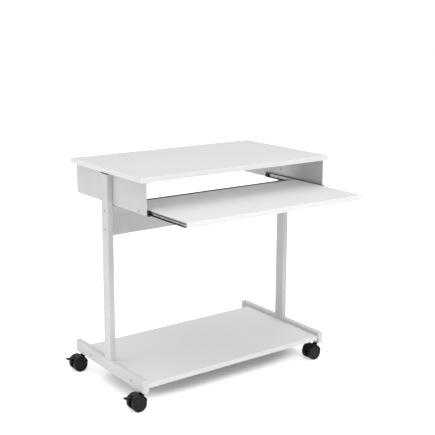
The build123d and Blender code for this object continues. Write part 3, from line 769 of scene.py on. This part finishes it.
def castor_hood(form, radius, half, braked):
    """Hood with its stem above the origin: an arch, a web and a boss, and a slot if it holds a brake."""
    boss_radius, boss_foot, boss_top = 8.5 * MM, 34 * MM, 55.6 * MM
    stem_bore, stem_foot, above_boss = 5.05 * MM, 30.6 * MM, 57 * MM
    axle_bore, pin_bore, bore_reach = 3.02 * MM, 1.52 * MM, 8 * MM
    wheel_room = 0.8 * MM     # round a wheel's tread
    wheel_side = 0.05 * MM    # between a well and the web
    past_side = 1.3 * MM      # how far a well's cutter stands out of the hood
    slot_half, slot_height, slot_front, slot_back = 4.8 * MM, 10.6 * MM, 4.6 * MM, 30 * MM
    inner = radius + form.shell_gap
    outer = inner + form.shell
    arch = put(hood_arch(form, inner, outer, half), AXLE)
    web = put(hood_web(form, outer, form.web / 2), AXLE)
    boss = rod(boss_radius, boss_foot, boss_top, 2)
    edit(boss, "FACE")
    pick(boss, "FACE", lambda face: face.normal.z > 0.9)
    rings([(0.9 * MM, 0.0), (0.3 * MM, -0.4 * MM)])
    bpy.ops.object.mode_set(mode="OBJECT")
    ease(boss, 0.7 * MM, segments=3, angle=60.0)
    hood = combine(combine(arch, web, "UNION"), boss, "UNION")
    for side in (-1, 1):
        well = rod(radius + wheel_room, side * (form.web / 2 + wheel_side), side * (half + past_side), 1,
                   sides=128, across=(AXLE.x, AXLE.z))
        hood = combine(hood, well, "DIFFERENCE")
    hood = combine(hood, rod(stem_bore, stem_foot, above_boss, 2), "DIFFERENCE")
    axle = rod(axle_bore, -bore_reach, bore_reach, 1, across=(AXLE.x, AXLE.z))
    hood = combine(hood, axle, "DIFFERENCE")
    if braked:
        slot = bar((PIVOT.x - slot_back, -slot_half, PIVOT.z - slot_height),
                   (PIVOT.x + slot_front, slot_half, PIVOT.z + slot_height))
        hood = combine(hood, slot, "DIFFERENCE")
        pin = rod(pin_bore, -bore_reach, bore_reach, 1, across=(PIVOT.x, PIVOT.z))
        hood = combine(hood, pin, "DIFFERENCE")
    return smooth(hood, 40.0)


def brake_lever(form):
    """Brake lever with its pin at the origin and its tab along -X: a barrel, an arm and a ribbed tab."""
    barrel_radius, half, thick = 3.6 * MM, 4.4 * MM, 1.8 * MM     # thick is half the plate's thickness
    arm_end, tab_root, tab_half = -13 * MM, -11 * MM, 9 * MM
    corner, bore, bore_reach = 3.5 * MM, 1.55 * MM, 6 * MM
    rib_radius, rib_half, rib_middle = 0.9 * MM, 7.2 * MM, 1.1 * MM
    barrel = rod(barrel_radius, -half, half, 1, sides=48)
    ease(barrel, 0.4 * MM, segments=3, angle=60.0)
    arm = bar((arm_end, -half, -thick), (0, half, thick))
    ease(arm, 0.5 * MM, segments=3)
    tab = bar((-form.tab, -tab_half, -thick), (tab_root, tab_half, thick))
    edit(tab, "EDGE")
    pick(tab, "EDGE", lambda edge: abs(edge.verts[0].co.z - edge.verts[1].co.z) > 1 * MM
         and edge.verts[0].co.x < -20 * MM)
    bpy.ops.mesh.bevel(offset=corner, segments=8, affect="EDGES")
    bpy.ops.object.mode_set(mode="OBJECT")
    ease(tab, 0.8 * MM, segments=3)
    lever = combine(combine(tab, arm, "UNION"), barrel, "UNION")
    for place in (-15.0, -17.6, -20.2, -22.8):
        rib = rod(rib_radius, -rib_half, rib_half, 1, sides=24, across=(place * MM, rib_middle + form.rib))
        ease(rib, 0.5 * MM, segments=2, angle=60.0)
        lever = combine(lever, rib, "UNION")
    lever = combine(lever, rod(bore, -bore_reach, bore_reach, 1), "DIFFERENCE")
    return smooth(lever)


class DESK_OT_castors(bpy.types.Operator):
    """Model the wheels, hoods and brake levers of the castors"""
    bl_idname = "desk.castors"
    bl_label = "Castors"

    def execute(self, context):
        form = context.scene.castor_form
        finish_node("castor_stems", "hardware")
        low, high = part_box("castor_wheel_b_front_left")
        radius, width = (high.z - low.z) / 2, high.y - low.y
        wheel = castor_wheel(form, radius, width)
        low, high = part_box("castor_hood_front_left")
        hoods = {braked: castor_hood(form, radius, (high.y - low.y) / 2, braked) for braked in (False, True)}
        lever = brake_lever(form)
        for corner in CORNERS:
            finish_node("castor_axle_" + corner, "hardware")
            low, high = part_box("castor_axle_" + corner)
            stem = (low + high) / 2 - AXLE
            for side, sign in (("a", -1), ("b", 1)):
                cad_name = f"castor_wheel_{side}_{corner}"
                low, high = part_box(cad_name)
                inner_face = high.y if sign < 0 else low.y
                twin = copy_to(wheel, ((low.x + high.x) / 2, inner_face, (low.z + high.z) / 2),
                               (0, 0, math.pi if sign < 0 else 0))
                complete(twin, f"wheel_{side}_{corner}", f"wheel_{side}_{corner}", "nylon",
                         [cad_name])
            complete(copy_to(hoods[corner in BRAKED], stem), f"hood_{corner}", f"castor_{corner}", "nylon",
                     [f"castor_hood_{corner}"])
            if corner in BRAKED:
                finish_node("brake_pin_" + corner, "hardware")
                complete(copy_to(lever, stem + PIVOT, (0, form.lever_lift, 0)), f"lever_{corner}",
                         f"brake_{corner}", "nylon", [f"brake_lever_{corner}"])
        for pattern in (wheel, lever, *hoods.values()):
            bpy.data.objects.remove(pattern)
        return {"FINISHED"}


# ---- stage --------------------------------------------------------------------------------------
def soft_box(name, place, target, size, power):
    """An area light that faces a point; size is its width and height."""
    data = bpy.data.lights.new(name, "AREA")
    data.shape = "RECTANGLE"
    data.size, data.size_y = size
    data.energy = power
    lamp = bpy.data.objects.new(name, data)
    lamp.visible_camera = False
    bpy.context.scene.collection.objects.link(lamp)
    lamp.location = place
    lamp.rotation_euler = (Vector(target) - Vector(place)).to_track_quat("-Z", "Y").to_euler()


def white_dome(horizon, zenith):
    """Soft light from a white dome, brighter overhead than at its foot, that looks plain white itself."""
    world = bpy.data.worlds.new("white_dome")
    world.use_nodes = True
    tree = world.node_tree
    direction = node(tree, "ShaderNodeTexCoord").outputs["Generated"]
    height = node(tree, "ShaderNodeSeparateXYZ", links={"Vector": direction}).outputs["Z"]
    rise = node(tree, "ShaderNodeMath", values={1: 1.5}, links={0: height}, operation="POWER", use_clamp=True)
    glow = node(tree, "ShaderNodeMapRange", values={"To Min": horizon, "To Max": zenith},
                links={"Value": rise.outputs["Value"]}).outputs["Result"]
    seen = node(tree, "ShaderNodeLightPath").outputs["Is Camera Ray"]
    level = node(tree, "ShaderNodeMix", values={"B": 1.0}, links={"Factor": seen, "A": glow},
                 data_type="FLOAT")
    tree.links.new(level.outputs["Result"], tree.nodes["Background"].inputs["Strength"])
    tree.nodes["Background"].inputs["Color"].default_value = (1, 1, 1, 1)
    return world


class DESK_OT_stage(bpy.types.Operator):
    """Set up the floor, the surroundings, the lights and the camera"""
    bl_idname = "desk.stage"
    bl_label = "Stage"

    def execute(self, context):
        studio = context.scene.studio_setup
        scene = context.scene
        scene.view_settings.view_transform = "Standard"

        clear_selection()
        bpy.ops.mesh.primitive_plane_add(size=30.0, location=(0, 0, 0))
        floor = bpy.context.object
        floor.name = "studio_floor"
        paper, tree, shader, place = new_material("studio_paper_matt")
        grain = blotches(tree, place, 60 * MM, detail=2.0)
        tone = mix_colours(tree, between(tree, grain, 0.0, 1.0), linear("#F4F4F4"), linear("#F1F1F1"))
        tree.links.new(tone, shader.inputs["Base Color"])
        shader.inputs["Roughness"].default_value = 0.9
        shader.inputs["Specular IOR Level"].default_value = 0.2
        shader.inputs["Emission Color"].default_value = (1, 1, 1, 1)
        # the floor glows to look white, less in a soft-edged patch under the desk, which is a painted shadow
        # of the desk, and less again for what it lights
        centre = Vector((frame_middle, sum(corner.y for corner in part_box("base_shelf")) / 2, 0))
        reach = Vector((1 / studio.shade[0], 1 / studio.shade[1], 0))
        spread = node(tree, "ShaderNodeMapping", values={"Location": -centre * reach, "Scale": reach},
                      links={"Vector": place}).outputs["Vector"]
        square = node(tree, "ShaderNodeVectorMath", links={0: spread, 1: spread},
                      operation="MULTIPLY").outputs["Vector"]
        fourth = node(tree, "ShaderNodeVectorMath", links={0: square, 1: square},
                      operation="DOT_PRODUCT").outputs["Value"]
        glow_with_painted_shadow = node(tree, "ShaderNodeMapRange", links={"Value": fourth}, interpolation_type="SMOOTHSTEP",
                   values={"From Min": 0.25, "From Max": 1.0, "To Min": studio.painted_shadow_glow,
                           "To Max": studio.glow}).outputs["Result"]
        seen = node(tree, "ShaderNodeLightPath").outputs["Is Camera Ray"]
        share = node(tree, "ShaderNodeMapRange", values={"To Min": studio.cast, "To Max": 1.0},
                     links={"Value": seen}).outputs["Result"]
        glow = node(tree, "ShaderNodeMath", links={0: glow_with_painted_shadow, 1: share}, operation="MULTIPLY").outputs["Value"]
        tree.links.new(glow, shader.inputs["Emission Strength"])
        floor.data.materials.append(paper)

        scene.world = white_dome(studio.horizon, studio.zenith)

        soft_box("key_soft_box", place=(0.05, -2.8, 2.2), target=(0, 0, 0.4), size=(1.0, 1.0),
                 power=studio.key)
        soft_box("side_soft_box", place=(-1.15, 0.3, 0.35), target=(0, 0.3, 0.35), size=(0.9, 0.7),
                 power=studio.side)

        data = bpy.data.cameras.new("studio_camera")
        camera = bpy.data.objects.new("studio_camera", data)
        scene.collection.objects.link(camera)
        data.lens = studio.lens
        data.sensor_width = 36.0
        data.shift_x, data.shift_y = studio.shift
        camera.location = studio.place
        look = Matrix.Rotation(-studio.heading, 4, "Z") @ Matrix.Rotation(math.pi / 2 - studio.tilt, 4, "X")
        camera.rotation_euler = (look @ Matrix.Rotation(studio.roll, 4, "Z")).to_euler()
        scene.camera = camera
        return {"FINISHED"}


class DESK_PT_sidebar(bpy.types.Panel):
    """Lists the steps that build the desk"""
    bl_idname = "DESK_PT_sidebar"
    bl_label = "Computer desk"
    bl_space_type = "VIEW_3D"
    bl_region_type = "UI"
    bl_category = "Desk"

    def draw(self, context):
        for step in STEPS:
            self.layout.operator(step.bl_idname)


STEPS = (DESK_OT_stage, DESK_OT_boards, DESK_OT_painted_steel, DESK_OT_slides, DESK_OT_plugs,
         DESK_OT_fasteners, DESK_OT_castors)
CLASSES = (DeskFinish, SteelForm, CastorForm, FastenerForm, StudioSetup, *STEPS, DESK_PT_sidebar)


def register():
    for kind in CLASSES:
        bpy.utils.register_class(kind)
    bpy.types.Scene.desk_finish = bpy.props.PointerProperty(type=DeskFinish)
    bpy.types.Scene.steel_form = bpy.props.PointerProperty(type=SteelForm)
    bpy.types.Scene.castor_form = bpy.props.PointerProperty(type=CastorForm)
    bpy.types.Scene.fastener_form = bpy.props.PointerProperty(type=FastenerForm)
    bpy.types.Scene.studio_setup = bpy.props.PointerProperty(type=StudioSetup)


def unregister():
    del bpy.types.Scene.studio_setup
    del bpy.types.Scene.fastener_form
    del bpy.types.Scene.castor_form
    del bpy.types.Scene.steel_form
    del bpy.types.Scene.desk_finish
    for kind in reversed(CLASSES):
        bpy.utils.unregister_class(kind)


def main():
    """Build everything in order."""
    register()
    make_materials(bpy.context.scene.desk_finish)
    bpy.ops.desk.stage()
    bpy.ops.desk.boards()
    bpy.ops.desk.painted_steel()
    bpy.ops.desk.slides()
    bpy.ops.desk.plugs()
    bpy.ops.desk.fasteners()
    bpy.ops.desk.castors()


if __name__ == "__main__":
    main()
